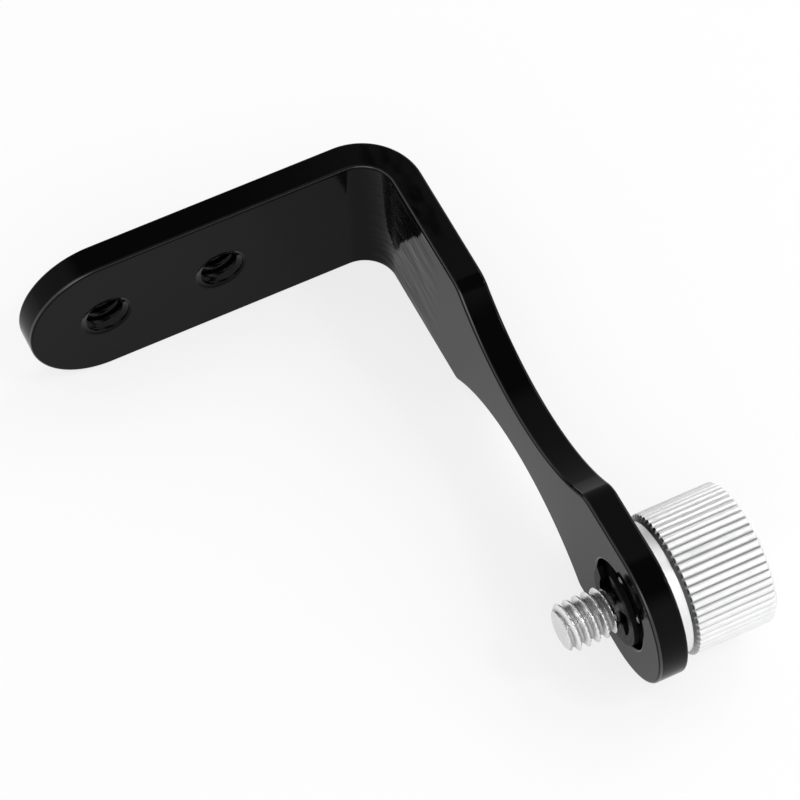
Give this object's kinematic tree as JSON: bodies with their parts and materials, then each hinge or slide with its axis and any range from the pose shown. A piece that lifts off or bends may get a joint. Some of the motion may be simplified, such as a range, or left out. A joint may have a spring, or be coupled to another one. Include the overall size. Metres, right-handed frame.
{
  "type": "l-shaped mounting bracket with captive thumbscrew",
  "caption": "Bent flat-bar bracket: a short leg with tapped holes, a waisted long leg ending in a round pad, and a knurled captive thumbscrew through the pad.",
  "frame": {"origin": "on the surface the bracket lies on, under the middle of its bounding box", "axes": "+Z across the width of the bar, up from the edge it lies on; the foot points to -X, the arm to -Y, and the knob to +X"},
  "size_m": [0.066, 0.081, 0.021],
  "materials": {
    "black_paint": "gloss black paint or powder coat over steel",
    "knob_metal": "bright turned and straight-knurled",
    "screw_steel": "bright plated steel with a cut thread",
    "black_spring_steel": "black oxide"
  },
  "bodies": {
    "bracket": {"bracket": "black_paint"},
    "clip": {"retaining_clip": "black_spring_steel"},
    "thumbscrew": {"knob": "knob_metal", "stud": "screw_steel"}
  },
  "joints": [
    {"name": "screw_float", "type": "slide", "parent": "bracket", "child": "clip", "axis": [1, 0, 0], "range_m": [0, 0.00095]},
    {"name": "thumbscrew_spin", "type": "hinge", "parent": "clip", "child": "thumbscrew", "pos_m": [0.02, -0.03, 0.0105], "axis": [-1, 0, 0], "continuous": true}
  ]
}
